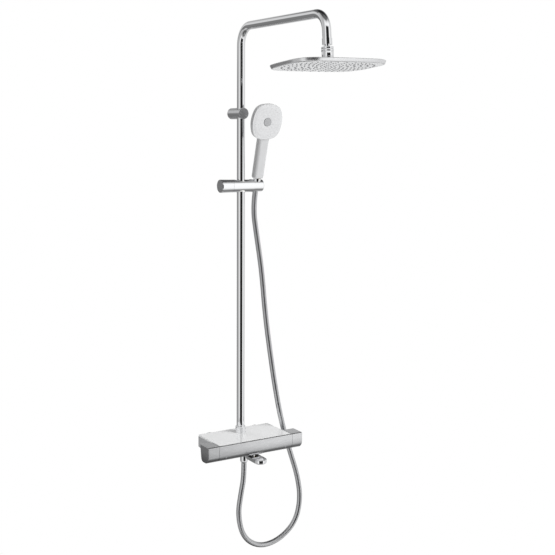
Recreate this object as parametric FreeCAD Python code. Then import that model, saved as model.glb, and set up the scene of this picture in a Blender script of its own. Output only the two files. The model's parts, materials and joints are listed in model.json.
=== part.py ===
"""Wall-mounted rainfall shower column: thermostatic shelf mixer, riser, swivelling arm,
rectangular rain head, sliding handset holder, handset and hose.

Frame: millimetres. The origin is midway between the two wall inlets, on the finished wall.
+X is to the right, +Y goes into the wall, and +Z is up, so the column stands at negative Y.
Each function below builds one sub-part (or one group of identical fasteners) and the last
section writes each of them to parts/NAME.step.
"""
import FreeCAD, Part
import math
import os

V = FreeCAD.Vector
X_AXIS = V(1, 0, 0)
Y_AXIS = V(0, 1, 0)
Z_AXIS = V(0, 0, 1)

# ---------------------------------------------------------------- driving dimensions
INLET_SPACING = 150.0        # centre to centre of the wall inlets
THREAD_R = 10.48             # half the outside diameter of a G1/2 thread
UNION_RISE = 8.0             # how far the eccentric unions lift the mixer
MIXER_Y = -117.0             # mixer barrel axis, in front of the wall
MIXER_Z = UNION_RISE
SHELF_TOP = 32.0
SHELF_HALF_WIDTH = 114.3
SHELF_FRONT = -137.0
SHELF_REAR = -9.7
SHELF_THICKNESS = 5.0
BAR_TOP = SHELF_TOP
BAR_BOTTOM = -15.0
BAR_FRONT = -141.0
BAR_REAR = -91.0
BAR_HALF_LENGTH = 117.5
KNOB_END = 151.5             # outer end of each knob
SEAM = 0.7                   # gap between bar and knob
LOWER_FRONT_R = 22.0         # large round along the bar's lower front edge
WALL = 2.2                   # thickness of bar and knob shells
COLUMN_Y = -50.0
TUBE_R = 11.0
TUBE_WALL = 1.2
BRACKET_Z = SHELF_TOP + 899.0
BRACKET_R = 15.2
ARM_Z = SHELF_TOP + 1130.0
FIRST_BEND_R = 48.0
SECOND_BEND_R = 45.0
SECOND_BEND_Y = -412.0       # where the straight arm ends
DROP_TURN = 84.0             # degrees that the second bend turns
BALL_DISTANCE = 52.0         # second bend's end to the ball's centre
BALL_R = 10.5
HEAD_WIDTH = 266.0
HEAD_DEPTH = 184.0
HEAD_CORNER_R = 53.0
HEAD_SIDE_R = 420.0          # gentle bow of the short sides
HEAD_FRONT_R = 1150.0        # gentle bow of the long sides
HEAD_EDGE = 8.3              # height of the head's rim
HEAD_DROP = 35.5             # ball centre to spray face
HEAD_TILT_X = -4.4           # degrees, front edge up
HEAD_TILT_Y = -1.1           # degrees, left side down
SLIDER_Z = SHELF_TOP + 702.0
SLIDER_R = 17.6
HOLDER_X = 49.2
HANDSET_LEAN = 15.0          # degrees that the handset leans forward
HANDSET_WIDTH = 94.5
HANDSET_HEIGHT = 99.5
HANDSET_FACE_S = 183.0       # holder centre to spray face centre, along the handle
HOSE_R = 7.5
HOSE_OUTLET_Y = -70.0
RUN = 0.06                   # radial clearance of a running fit
GAP = 0.3                    # gap between parts of different moving bodies

# ---------------------------------------------------------------- basic shapes


def unit(vector):
    """The same direction with length one."""
    result = V(vector)
    result.normalize()
    return result


def rod(start, end, radius):
    """Solid cylinder between two points."""
    axis = end - start
    return Part.makeCylinder(radius, axis.Length, start, axis)


def pipe(start, end, outer, inner):
    """Hollow cylinder between two points."""
    axis = unit(end - start)
    return rod(start, end, outer).cut(rod(start - axis, end + axis, inner))


def cone(start, end, radius_start, radius_end):
    """Cone frustum between two points."""
    axis = end - start
    return Part.makeCone(radius_start, radius_end, axis.Length, start, axis)


def block(x0, x1, y0, y1, z0, z1):
    """Box from its limits."""
    return Part.makeBox(x1 - x0, y1 - y0, z1 - z0, V(x0, y0, z0))


def fuse_all(shapes):
    """One solid from several that overlap."""
    result = shapes[0]
    for shape in shapes[1:]:
        result = result.fuse(shape)
    return result.removeSplitter()


def cut_all(shape, tools):
    """A shape less each of the tools."""
    result = shape
    for tool in tools:
        result = result.cut(tool)
    return result


def hexagon_prism(start, end, across_flats):
    """Hexagonal bar between two points."""
    axis = unit(end - start)
    side = unit(axis.cross(Z_AXIS)) if abs(axis.z) < 0.9 else X_AXIS
    up = axis.cross(side)
    radius = across_flats / math.sqrt(3)
    points = []
    for k in range(7):
        angle = math.radians(60 * (k % 6))
        points.append(start + side * (radius * math.cos(angle)) + up * (radius * math.sin(angle)))
    return Part.Face(Part.makePolygon(points)).extrude(end - start)


def spun(profile, origin, axis, side):
    """Solid of revolution from (radius, height) pairs; height runs along axis from origin."""
    points = [origin + side * r + axis * h for r, h in profile]
    points.append(points[0])
    return Part.Face(Part.makePolygon(points)).revolve(origin, axis, 360)


def rounded_wire(corners, radii):
    """Closed flat wire through the corners, each rounded by its radius."""
    count = len(corners)
    entries = []
    exits = []
    mids = []
    for k in range(count):
        here = corners[k]
        back = unit(corners[k - 1] - here)
        ahead = unit(corners[(k + 1) % count] - here)
        half = back.getAngle(ahead) / 2
        reach = radii[k] / math.tan(half)
        centre = here + unit(back + ahead) * (radii[k] / math.sin(half))
        entries.append(here + back * reach)
        exits.append(here + ahead * reach)
        mids.append(centre + unit(here - centre) * radii[k])
    edges = []
    for k in range(count):
        edges.append(Part.Arc(entries[k], mids[k], exits[k]).toShape())
        edges.append(Part.LineSegment(exits[k], entries[(k + 1) % count]).toShape())
    return Part.Wire(edges)


def bowed_wire(spot, half_w, half_h, corner_r, side_r, end_r):
    """Rounded rectangle with gently bowed sides, as eight tangent arcs.

    side_r curves the sides at +x and -x, end_r those at +y and -y; spot(x, y) places a point.
    """
    side_x = half_w - side_r
    end_y = half_h - end_r
    span = math.hypot(side_x, end_y)
    to_side = side_r - corner_r
    to_end = end_r - corner_r
    along = (to_side ** 2 - to_end ** 2 + span ** 2) / (2 * span)
    across = math.sqrt(to_side ** 2 - along ** 2)
    centre_x = side_x - along * side_x / span - across * end_y / span
    centre_y = along * end_y / span - across * side_x / span
    side_angle = math.atan2(centre_y, centre_x - side_x)
    end_angle = math.atan2(centre_y - end_y, centre_x)
    middle = (side_angle + end_angle) / 2
    side_end = (side_x + side_r * math.cos(side_angle), side_r * math.sin(side_angle))
    end_end = (end_r * math.cos(end_angle), end_y + end_r * math.sin(end_angle))
    corner = (centre_x + corner_r * math.cos(middle), centre_y + corner_r * math.sin(middle))

    def arc(first, second, third, sx, sy):
        places = [spot(sx * x, sy * y) for x, y in (first, second, third)]
        return Part.Arc(*places).toShape()

    lower = (side_end[0], -side_end[1])
    left = (-end_end[0], end_end[1])
    edges = [arc(lower, (half_w, 0), side_end, 1, 1),
             arc(side_end, corner, end_end, 1, 1),
             arc(end_end, (0, half_h), left, 1, 1),
             arc(end_end, corner, side_end, -1, 1),
             arc(side_end, (half_w, 0), lower, -1, 1),
             arc(side_end, corner, end_end, -1, -1),
             arc(left, (0, half_h), end_end, 1, -1),
             arc(end_end, corner, side_end, 1, -1)]
    return Part.Wire(edges)


def tube_path(points, radii):
    """Wire of straight runs joined by tangent arcs at the inner points."""
    edges = []
    start = points[0]
    for k in range(1, len(points) - 1):
        here = points[k]
        back = unit(points[k - 1] - here)
        ahead = unit(points[k + 1] - here)
        half = back.getAngle(ahead) / 2
        reach = radii[k - 1] / math.tan(half)
        centre = here + unit(back + ahead) * (radii[k - 1] / math.sin(half))
        arc_start = here + back * reach
        arc_end = here + ahead * reach
        middle = centre + unit(here - centre) * radii[k - 1]
        edges.append(Part.LineSegment(start, arc_start).toShape())
        edges.append(Part.Arc(arc_start, middle, arc_end).toShape())
        start = arc_end
    edges.append(Part.LineSegment(start, points[-1]).toShape())
    return Part.Wire(edges)


def swept(path, radius):
    """Round bar along a wire."""
    first = path.Edges[0]
    start = first.valueAt(first.FirstParameter)
    direction = first.tangentAt(first.FirstParameter)
    circle = Part.Wire(Part.makeCircle(radius, start, direction))
    return path.makePipeShell([circle], True, False)


# ---------------------------------------------------------------- places worked out once

def mixer_point(x, y=0.0, z=0.0):
    """Point given from the mixer barrel's axis."""
    return V(x, MIXER_Y + y, MIXER_Z + z)


SIDES = (-1, 1)
turn = math.radians(DROP_TURN)
DROP_START = V(0, SECOND_BEND_Y - SECOND_BEND_R * math.sin(turn),
               ARM_Z - SECOND_BEND_R + SECOND_BEND_R * math.cos(turn))
DROP_DIR = V(0, -math.cos(turn), -math.sin(turn))
BALL = DROP_START + DROP_DIR * BALL_DISTANCE
lean = math.radians(HANDSET_LEAN)
HANDLE_DIR = V(0, -math.sin(lean), math.cos(lean))
FACE_DIR = V(0, -math.cos(lean), -math.sin(lean))
HOLDER = V(HOLDER_X, COLUMN_Y, SLIDER_Z)
HANDLE_START = 22.0          # end of the handle above the holder's centre
NUT_BOTTOM = -14.0           # hose end below the holder's centre


def handset_point(x, forward, along):
    """Point given from the holder's centre in the handset's own directions."""
    return HOLDER + X_AXIS * x + FACE_DIR * forward + HANDLE_DIR * along


# ---------------------------------------------------------------- wall connections

LEG_X = INLET_SPACING / 2
UNION_NUT_REAR = -26.0
UNION_NUT_FRONT = -46.0
WATERWAY_R = 7.0


def s_union(side):
    """Eccentric union: G1/2 thread in the wall, hexagon, and an offset outlet."""
    wall_axis = V(side * LEG_X, 0, 0)
    out_axis = V(side * LEG_X, 0, UNION_RISE)
    wall_end = rod(wall_axis + Y_AXIS * 22, wall_axis - Y_AXIS * 1, THREAD_R)
    flange = hexagon_prism(wall_axis, wall_axis - Y_AXIS * 3.6, 22.0)
    middle = rod(out_axis - Y_AXIS * 1, out_axis - Y_AXIS * 32, 12.0)
    collar = rod(out_axis - Y_AXIS * 30, out_axis - Y_AXIS * 34, 13.0)
    solid = fuse_all([wall_end, flange, middle, collar])
    return cut_all(solid, [rod(wall_axis + Y_AXIS * 23, wall_axis - Y_AXIS * 7, WATERWAY_R),
                           rod(out_axis - Y_AXIS * 4, out_axis - Y_AXIS * 35, WATERWAY_R)])


def escutcheon(side):
    """Shallow round cover over the hole in the wall."""
    centre = V(side * LEG_X, 0, UNION_RISE)
    profile = [(12.2, 8.5), (17.5, 8.5), (22.0, 4.0), (22.0, 0.0), (20.9, 0.0),
               (20.9, 3.8), (16.9, 7.4), (12.2, 7.4)]
    return spun(profile, centre, -Y_AXIS, X_AXIS)


def union_nut(side):
    """Hexagonal nut that pulls the mixer leg on to the union."""
    centre = V(side * LEG_X, 0, UNION_RISE)
    body = hexagon_prism(centre + Y_AXIS * UNION_NUT_REAR, centre + Y_AXIS * UNION_NUT_FRONT, 30.0)
    body = body.common(rod(centre + Y_AXIS * UNION_NUT_REAR, centre + Y_AXIS * UNION_NUT_FRONT, 16.6))
    return cut_all(body, [rod(centre - Y_AXIS * 25, centre - Y_AXIS * 50, 12.1),
                          rod(centre - Y_AXIS * 29.9, centre - Y_AXIS * 50, 13.1)])


def inlet_filter(side):
    """Rubber sealing ring with a raised mesh cone."""
    centre = V(side * LEG_X, -34, UNION_RISE)
    seal = pipe(centre, centre - Y_AXIS * 1.8, 11.6, 6.5)
    mesh = pipe(centre - Y_AXIS * 1.8, centre - Y_AXIS * 5.0, 6.9, 6.3)
    lid = rod(centre - Y_AXIS * 4.4, centre - Y_AXIS * 5.0, 6.9)
    return fuse_all([seal, mesh, lid])


def check_valve(side):
    """Non-return valve cartridge pressed into the mixer leg."""
    centre = V(side * LEG_X, -44, UNION_RISE)
    shell = pipe(centre, centre - Y_AXIS * 20, 6.9, 5.4)
    spider = block(side * LEG_X - 5.6, side * LEG_X + 5.6, -62, -60, UNION_RISE - 0.8, UNION_RISE + 0.8)
    poppet = rod(centre - Y_AXIS * 2, centre - Y_AXIS * 17, 2.6)
    return fuse_all([shell, spider, poppet])


# ---------------------------------------------------------------- mixer body and valves

BARREL_R = 17.5
CARTRIDGE_R = 12.6
CARTRIDGE_START = 40.0
BARREL_END = 86.2
SPINDLE_R = 4.0
SPOUT_STEM_R = 9.0
SPOUT_STEM_TOP = MIXER_Z - 10.0


def mixer_body():
    """Brass casting: barrel, two inlet legs and bosses for riser, hose and spout."""
    barrel = rod(mixer_point(-BARREL_END), mixer_point(BARREL_END), BARREL_R)
    shapes = [barrel]
    for side in SIDES:
        leg = V(side * LEG_X, 0, MIXER_Z)
        shapes.append(rod(leg + Y_AXIS * (MIXER_Y + 6), leg - Y_AXIS * 46.5, 11.0))
        shapes.append(rod(leg - Y_AXIS * 48, leg - Y_AXIS * 36, 12.6))
    shapes.append(block(-13, 13, MIXER_Y, COLUMN_Y, MIXER_Z - 9, MIXER_Z + 9))
    shapes.append(rod(V(0, COLUMN_Y, MIXER_Z - 9), V(0, COLUMN_Y, SHELF_TOP - 5.2), 15.0))
    shapes.append(rod(V(0, HOSE_OUTLET_Y, MIXER_Z), V(0, HOSE_OUTLET_Y, -19.0), 12.0))
    shapes.append(rod(mixer_point(0), V(0, MIXER_Y, BAR_BOTTOM + 2.6), 11.0))
    body = fuse_all(shapes)
    tools = [rod(V(0, COLUMN_Y, MIXER_Z + 2), V(0, COLUMN_Y, SHELF_TOP), TUBE_R + 0.05),
             rod(V(0, COLUMN_Y, MIXER_Z - 4), V(0, COLUMN_Y, MIXER_Z + 3), 8.0),
             rod(V(0, COLUMN_Y, MIXER_Z), mixer_point(0), 5.0),
             rod(V(0, HOSE_OUTLET_Y, MIXER_Z), V(0, HOSE_OUTLET_Y, -20), 6.0),
             rod(V(0, HOSE_OUTLET_Y, -9), V(0, HOSE_OUTLET_Y, -20), 8.05),
             rod(mixer_point(0), V(0, MIXER_Y, BAR_BOTTOM), 5.0),
             rod(V(0, MIXER_Y, SPOUT_STEM_TOP + 0.4), V(0, MIXER_Y, BAR_BOTTOM - 1), SPOUT_STEM_R + RUN)]
    for side in SIDES:
        tools.append(rod(mixer_point(side * CARTRIDGE_START), mixer_point(side * 95), CARTRIDGE_R + 0.05))
        tools.append(rod(mixer_point(0), mixer_point(side * 41), 5.0))
        leg = V(side * LEG_X, 0, MIXER_Z)
        tools.append(rod(leg + Y_AXIS * (MIXER_Y + 4), leg - Y_AXIS * 30, WATERWAY_R))
    return cut_all(body, tools)


def cartridge(side, ports):
    """Valve cartridge: ported sleeve, retaining hexagon and a bearing for the spindle."""
    sleeve = rod(mixer_point(side * (CARTRIDGE_START + 0.5)), mixer_point(side * 88), CARTRIDGE_R)
    collar = hexagon_prism(mixer_point(side * 86.5), mixer_point(side * 93), 28.0)
    nose = rod(mixer_point(side * 91), mixer_point(side * 100), 7.5)
    solid = fuse_all([sleeve, collar, nose])
    tools = [rod(mixer_point(side * 52), mixer_point(side * 101), SPINDLE_R + RUN),
             rod(mixer_point(side * 40), mixer_point(side * 50), 9.0)]
    for k in range(ports):
        angle = 2 * math.pi * k / ports
        outward = V(0, math.cos(angle), math.sin(angle))
        centre = mixer_point(side * 62)
        tools.append(rod(centre + outward * 10.2, centre + outward * 14, 3.0))
        groove = pipe(mixer_point(side * (76 + 3 * (k % 2))), mixer_point(side * (77.4 + 3 * (k % 2))), 14, 11.6)
        tools.append(groove)
    return cut_all(solid, tools)


def spindle(side):
    """Splined shaft that the knob turns."""
    shaft = rod(mixer_point(side * 53), mixer_point(side * 124), SPINDLE_R)
    flats = [block(min(side * 112, side * 125), max(side * 112, side * 125),
                   MIXER_Y - 5, MIXER_Y + 5, MIXER_Z + sign * 4.6 - 1.4, MIXER_Z + sign * 4.6 + 1.4)
             for sign in SIDES]
    return cut_all(shaft, flats)


# ---------------------------------------------------------------- mixer covers

TAB_HALF_WIDTH = 22.5
TAB_BOTTOM = -12.6
TAB_TOP = -3.2
CHEEK = 2.4                  # thickness of the tray's side cheeks
KNOB_END_WALL = 3.0
HUB_START = 104.0            # inner end of each knob's hub


def bar_profile(x, inset=0.0):
    """Cross-section shared by the bar and its knobs, as a wire in a plane of constant X."""
    corners = [V(x, BAR_REAR - inset, BAR_TOP - inset),
               V(x, BAR_FRONT + inset, BAR_TOP - inset),
               V(x, BAR_FRONT + inset, BAR_BOTTOM + inset),
               V(x, BAR_REAR - 7.0 - inset, BAR_BOTTOM + inset)]
    radii = [max(4.0 - inset, 1.0), max(4.5 - inset, 1.0), LOWER_FRONT_R - inset, 12.0 - inset]
    return rounded_wire(corners, radii)


def bar_prism(x0, x1, inset=0.0):
    """The bar's cross-section drawn out along X."""
    return Part.Face(bar_profile(x0, inset)).extrude(V(x1 - x0, 0, 0))


def front_bar():
    """Metal cover along the front, notched at the top for the shelf and open at the rear."""
    shell = bar_prism(-BAR_HALF_LENGTH, BAR_HALF_LENGTH)
    hollow = bar_prism(-BAR_HALF_LENGTH - 1, BAR_HALF_LENGTH + 1, WALL)
    notch = block(-SHELF_HALF_WIDTH - 0.3, SHELF_HALF_WIDTH + 0.3, SHELF_FRONT - 0.1, -80, SHELF_TOP - SHELF_THICKNESS - 0.1, 60)
    back = block(-200, 200, -103, -80, -6.0, 60)
    spout_hole = rod(V(0, MIXER_Y, -30), V(0, MIXER_Y, 0), 11.3)
    tab_slot = block(-TAB_HALF_WIDTH - GAP, TAB_HALF_WIDTH + GAP, BAR_FRONT - 3, BAR_FRONT + 14,
                     TAB_BOTTOM - GAP, TAB_TOP + GAP)
    shell = cut_all(shell, [hollow, notch, back, spout_hole, tab_slot])
    rails = [block(x - 2, x + 2, BAR_FRONT + 1.5, SHELF_FRONT + 1.0, -4, SHELF_TOP - 8) for x in (-96, 96)]
    return fuse_all([shell] + rails)


def diverter_tab():
    """Pull tab in the bar's lower front edge, with the two rods that work the diverter."""
    proud = bar_prism(-TAB_HALF_WIDTH, TAB_HALF_WIDTH, -1.6)
    window = block(-TAB_HALF_WIDTH, TAB_HALF_WIDTH, BAR_FRONT - 4, MIXER_Y - 12.0, TAB_BOTTOM, TAB_TOP)
    tab = proud.common(window).cut(bar_prism(-50, 50, 3.4))
    rods = [rod(V(x, MIXER_Y - 16.0, TAB_BOTTOM + 4.2), V(x, MIXER_Y - 9.5, TAB_BOTTOM + 4.2), 1.1)
            for x in (-16, 16)]
    return fuse_all([tab] + rods)


def shelf_plate():
    """Flat glossy shelf on top of the mixer, with a hole for the riser."""
    plate = block(-SHELF_HALF_WIDTH, SHELF_HALF_WIDTH, SHELF_FRONT, SHELF_REAR,
                  SHELF_TOP - SHELF_THICKNESS, SHELF_TOP)
    upright = [e for e in plate.Edges if abs(e.tangentAt(e.FirstParameter).z) > 0.9]
    plate = plate.makeFillet(3.0, upright)
    top = [e for e in plate.Edges if min(v.Z for v in e.Vertexes) > SHELF_TOP - 0.1]
    plate = plate.makeFillet(0.8, top)
    return plate.cut(rod(V(0, COLUMN_Y, 0), V(0, COLUMN_Y, 60), TUBE_R + 0.3))


def rear_housing():
    """Plastic tray under the shelf: two side cheeks, a floor and a front rail."""
    cheeks = []
    for side in SIDES:
        x0 = side * SHELF_HALF_WIDTH - (CHEEK if side > 0 else 0)
        outline = [V(x0, SHELF_REAR, SHELF_TOP - 5.2), V(x0, -102.6, SHELF_TOP - 5.2), V(x0, -102.6, -5.6),
                   V(x0, -95.5, -5.6), V(x0, -95.5, -8), V(x0, -45, -8), V(x0, SHELF_REAR, -3)]
        outline.append(outline[0])
        cheeks.append(Part.Face(Part.makePolygon(outline)).extrude(V(CHEEK, 0, 0)))
    floor = block(-SHELF_HALF_WIDTH, SHELF_HALF_WIDTH, -95.5, -52, -8, -5.6)
    ribs = [block(x - 1, x + 1, -95.5, -20, SHELF_TOP - 12, SHELF_TOP - 5.2) for x in (-40, 40)]
    beam = block(-SHELF_HALF_WIDTH, SHELF_HALF_WIDTH, -22, -19, SHELF_TOP - 12, SHELF_TOP - 5.2)
    tray = fuse_all(cheeks + [floor, beam] + ribs)
    posts = [block(x - 1, x + 1, -95.5, -92, -8, SHELF_TOP - 5.2) for x in (-40, 40)]
    tray = fuse_all([tray] + posts)
    holes = [rod(V(0, HOSE_OUTLET_Y, -30), V(0, HOSE_OUTLET_Y, 0), 12.4)]
    return cut_all(tray, holes)


def knob(side):
    """Hollow knob with the bar's outline, an end wall and a hub for the spindle."""
    inner_end = side * (BAR_HALF_LENGTH + SEAM)
    outer_end = side * KNOB_END
    low = min(inner_end, outer_end)
    high = max(inner_end, outer_end)
    body = bar_prism(low, high)
    rim = [e for e in body.Edges if min(abs(v.X) for v in e.Vertexes) > KNOB_END - 0.1]
    body = body.makeFillet(1.4, rim)
    hollow_start = inner_end - side
    hollow_end = outer_end - side * KNOB_END_WALL
    hollow = bar_prism(min(hollow_start, hollow_end), max(hollow_start, hollow_end), WALL)
    body = body.cut(hollow)
    hub = rod(mixer_point(side * HUB_START), mixer_point(side * (KNOB_END - 2)), 8.0)
    body = body.fuse(hub)
    for k in range(4):
        web = block(0, 16.0, 7.0, 20.5, -0.8, 0.8)
        web.rotate(V(0, 0, 0), X_AXIS, 45 + 90 * k)
        web.translate(mixer_point(side * (KNOB_END - 2) - (16 if side > 0 else 0)))
        body = body.fuse(web.common(bar_prism(low, high, WALL / 2)))
    bore = rod(mixer_point(side * (HUB_START - 1)), mixer_point(side * 124.2), SPINDLE_R + 0.02)
    return body.cut(bore).removeSplitter()


# ---------------------------------------------------------------- spout and hose outlet

SPOUT_HALF_WIDTH = 18.0
SPOUT_TOP = BAR_BOTTOM - 1.5
SPOUT_THICKNESS = 11.8
SPOUT_TIP_Y = -178.0
OUTLET_Y = SPOUT_TIP_Y + 15.0
HOSE_NUT_TOP = -26.0
HOSE_NUT_BOTTOM = -53.0


def spout():
    """Flat swivelling bath spout: a tongue with a round tip and a stem into the mixer."""
    tip_centre_y = SPOUT_TIP_Y + SPOUT_HALF_WIDTH
    edges = [Part.LineSegment(V(SPOUT_HALF_WIDTH, MIXER_Y, SPOUT_TOP),
                              V(SPOUT_HALF_WIDTH, tip_centre_y, SPOUT_TOP)).toShape(),
             Part.Arc(V(SPOUT_HALF_WIDTH, tip_centre_y, SPOUT_TOP), V(0, SPOUT_TIP_Y, SPOUT_TOP),
                      V(-SPOUT_HALF_WIDTH, tip_centre_y, SPOUT_TOP)).toShape(),
             Part.LineSegment(V(-SPOUT_HALF_WIDTH, tip_centre_y, SPOUT_TOP),
                              V(-SPOUT_HALF_WIDTH, MIXER_Y, SPOUT_TOP)).toShape(),
             Part.Arc(V(-SPOUT_HALF_WIDTH, MIXER_Y, SPOUT_TOP), V(0, MIXER_Y + SPOUT_HALF_WIDTH, SPOUT_TOP),
                      V(SPOUT_HALF_WIDTH, MIXER_Y, SPOUT_TOP)).toShape()]
    tongue = Part.Face(Part.Wire(edges)).extrude(V(0, 0, -SPOUT_THICKNESS))
    low = [e for e in tongue.Edges if max(v.Z for v in e.Vertexes) < SPOUT_TOP - SPOUT_THICKNESS + 0.1]
    tongue = tongue.makeFillet(4.0, low)
    high = [e for e in tongue.Edges if min(v.Z for v in e.Vertexes) > SPOUT_TOP - 0.1]
    tongue = tongue.makeFillet(1.5, high)
    stem = rod(V(0, MIXER_Y, SPOUT_TOP - 2), V(0, MIXER_Y, SPOUT_STEM_TOP), SPOUT_STEM_R)
    body = fuse_all([tongue, stem])
    groove_z = BAR_BOTTOM + 7.0
    groove = pipe(V(0, MIXER_Y, groove_z), V(0, MIXER_Y, groove_z + 2.2), SPOUT_STEM_R + 1, 7.4)
    channel_z = SPOUT_TOP - SPOUT_THICKNESS / 2
    return cut_all(body, [groove,
                          rod(V(0, MIXER_Y, channel_z), V(0, MIXER_Y, SPOUT_STEM_TOP + 1), 5.0),
                          rod(V(0, MIXER_Y, channel_z), V(0, OUTLET_Y, channel_z), 4.0),
                          rod(V(0, OUTLET_Y, channel_z + 2), V(0, OUTLET_Y, -40), 9.0)])


def spout_o_ring():
    """Seal in the spout stem's groove."""
    ring = Part.makeTorus(8.2, 0.75)
    ring.translate(V(0, MIXER_Y, BAR_BOTTOM + 8.1))
    return ring


def aerator():
    """Round insert in the spout's outlet, with a honeycomb of small holes."""
    bottom = SPOUT_TOP - SPOUT_THICKNESS + 0.6
    body = rod(V(0, OUTLET_Y, bottom), V(0, OUTLET_Y, bottom + 4.5), 8.9)
    holes = []
    for ring, count in ((0, 1), (3.2, 6), (6.2, 12)):
        for k in range(count):
            angle = 2 * math.pi * k / count
            spot = V(ring * math.cos(angle), OUTLET_Y + ring * math.sin(angle), bottom - 1)
            holes.append(rod(spot, spot + Z_AXIS * 7, 1.0))
    return body.cut(Part.makeCompound(holes))


def hose_outlet_nipple():
    """Threaded G1/2 outlet under the mixer that the hose screws on to."""
    top = V(0, HOSE_OUTLET_Y, -9.2)
    shapes = [rod(top, top - Z_AXIS * 10.2, 8.0),
              hexagon_prism(V(0, HOSE_OUTLET_Y, -19.2), V(0, HOSE_OUTLET_Y, -24), 22.0),
              rod(V(0, HOSE_OUTLET_Y, -19.4), V(0, HOSE_OUTLET_Y, -38), 9.0)]
    return fuse_all(shapes).cut(rod(V(0, HOSE_OUTLET_Y, -5), V(0, HOSE_OUTLET_Y, -40), 5.0))


def hose_lower_nut():
    """Knurled cylinder nut at the mixer end of the hose."""
    base = V(0, HOSE_OUTLET_Y, HOSE_NUT_BOTTOM)
    height = HOSE_NUT_TOP - HOSE_NUT_BOTTOM
    profile = [(5.2, 0), (HOSE_R + 0.6, 0), (10.2, 5), (10.8, 8), (10.8, height - 1), (10.2, height),
               (9.05, height), (9.05, 12.8), (5.2, 12.8)]
    return spun(profile, base, Z_AXIS, X_AXIS)


def hose_washer(centre, axis, outer):
    """Flat rubber washer."""
    return pipe(centre, centre + axis * 1.8, outer, 5.0)


# ---------------------------------------------------------------- riser, bracket and arm

COLUMN_BOTTOM = MIXER_Z + 2.2
TUBE_BORE = TUBE_R - TUBE_WALL
BRACKET_FRONT = -63.0
FOOT_LENGTH = 20.0
DROP_LENGTH = 31.0


def column_ferrule():
    """Chrome collar around the foot of the riser."""
    base = V(0, COLUMN_Y, SHELF_TOP)
    profile = [(TUBE_R + 0.1, 0), (14.0, 0), (14.0, 17.4), (13.0, 19.0), (TUBE_R + 0.1, 19.0)]
    return spun(profile, base, Z_AXIS, X_AXIS)


def column_tube():
    """Straight riser from the mixer up into the wall bracket."""
    return pipe(V(0, COLUMN_Y, COLUMN_BOTTOM), V(0, COLUMN_Y, BRACKET_Z), TUBE_R, TUBE_BORE)


def column_inlet_sleeve():
    """Brass sleeve with two seal grooves inside the riser's foot."""
    sleeve = pipe(V(0, COLUMN_Y, COLUMN_BOTTOM), V(0, COLUMN_Y, COLUMN_BOTTOM + 26), TUBE_BORE - 0.05, 7.5)
    grooves = []
    for height in (6, 14):
        z = COLUMN_BOTTOM + height
        grooves.append(pipe(V(0, COLUMN_Y, z), V(0, COLUMN_Y, z + 2), TUBE_BORE + 1, 8.3))
    return cut_all(sleeve, grooves)


def swivel_bush():
    """Brass bush fixed in the riser's top; the arm turns on its upper half."""
    base = V(0, COLUMN_Y, BRACKET_Z)
    profile = [(7.0, -24), (TUBE_BORE - 0.04, -24), (TUBE_BORE - 0.04, 0), (TUBE_BORE - RUN, 0),
               (TUBE_BORE - RUN, 8), (8.3, 8), (8.3, 10.2), (TUBE_BORE - RUN, 10.2),
               (TUBE_BORE - RUN, 16), (8.3, 16), (8.3, 18.2), (TUBE_BORE - RUN, 18.2),
               (TUBE_BORE - RUN, 30), (7.0, 30)]
    return spun(profile, base, Z_AXIS, X_AXIS)


def swivel_o_rings():
    """Two seals between the swivel bush and the arm."""
    rings = []
    for height in (9.1, 17.1):
        ring = Part.makeTorus(9.0, 0.65)
        ring.translate(V(0, COLUMN_Y, BRACKET_Z + height))
        rings.append(ring)
    return Part.makeCompound(rings)


def bracket_sleeve():
    """Round bar from the wall, cross-drilled for the riser."""
    axis = V(0, 0, BRACKET_Z)
    body = rod(axis - Y_AXIS * 0.4, axis + Y_AXIS * BRACKET_FRONT, BRACKET_R)
    tools = [rod(V(0, COLUMN_Y, BRACKET_Z - 30), V(0, COLUMN_Y, BRACKET_Z), TUBE_R + 0.05),
             rod(V(0, COLUMN_Y, BRACKET_Z), V(0, COLUMN_Y, BRACKET_Z + 30), TUBE_R + GAP),
             rod(axis, axis - Y_AXIS * (FOOT_LENGTH + 1), 11.05),
             rod(V(0, -12, BRACKET_Z - 20), V(0, -12, BRACKET_Z), 2.05)]
    return cut_all(body, tools)


def bracket_foot():
    """Steel boss that is screwed to the wall inside the sleeve."""
    axis = V(0, 0, BRACKET_Z)
    body = rod(axis, axis - Y_AXIS * FOOT_LENGTH, 11.0)
    return cut_all(body, [rod(axis + Y_AXIS, axis - Y_AXIS * 30, 2.75),
                          rod(axis - Y_AXIS * 8, axis - Y_AXIS * 30, 5.5),
                          rod(V(0, -12, BRACKET_Z - 20), V(0, -12, BRACKET_Z - 5), 2.05)])


def bracket_grub_screw():
    """Socket set screw that locks the sleeve on its foot."""
    end = V(0, -12, BRACKET_Z - 14.0)
    body = rod(end, V(0, -12, BRACKET_Z - 6.0), 2.0)
    return body.cut(hexagon_prism(end, end + Z_AXIS * 2.5, 2.0))


def bracket_cap():
    """Thin disc that closes the sleeve's front."""
    centre = V(0, BRACKET_FRONT - 0.1, BRACKET_Z)
    cap = rod(centre, centre - Y_AXIS * 2.6, BRACKET_R)
    front = [e for e in cap.Edges if max(v.Y for v in e.Vertexes) < BRACKET_FRONT - 2.0]
    return cap.makeFillet(0.6, front)


def arm_tube():
    """Bent tube: up from the bracket, forward, and down to the head."""
    start = V(0, COLUMN_Y, BRACKET_Z + GAP)
    first_corner = V(0, COLUMN_Y, ARM_Z)
    reach = SECOND_BEND_R * math.tan(turn / 2)
    second_corner = V(0, SECOND_BEND_Y - reach, ARM_Z)
    end = DROP_START + DROP_DIR * DROP_LENGTH
    path = tube_path([start, first_corner, second_corner, end], [FIRST_BEND_R, SECOND_BEND_R])
    return swept(path, TUBE_R).cut(swept(path, TUBE_BORE))


def drop_point(distance):
    """Point on the drop tube's axis, past the end of the second bend."""
    return DROP_START + DROP_DIR * distance


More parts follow.
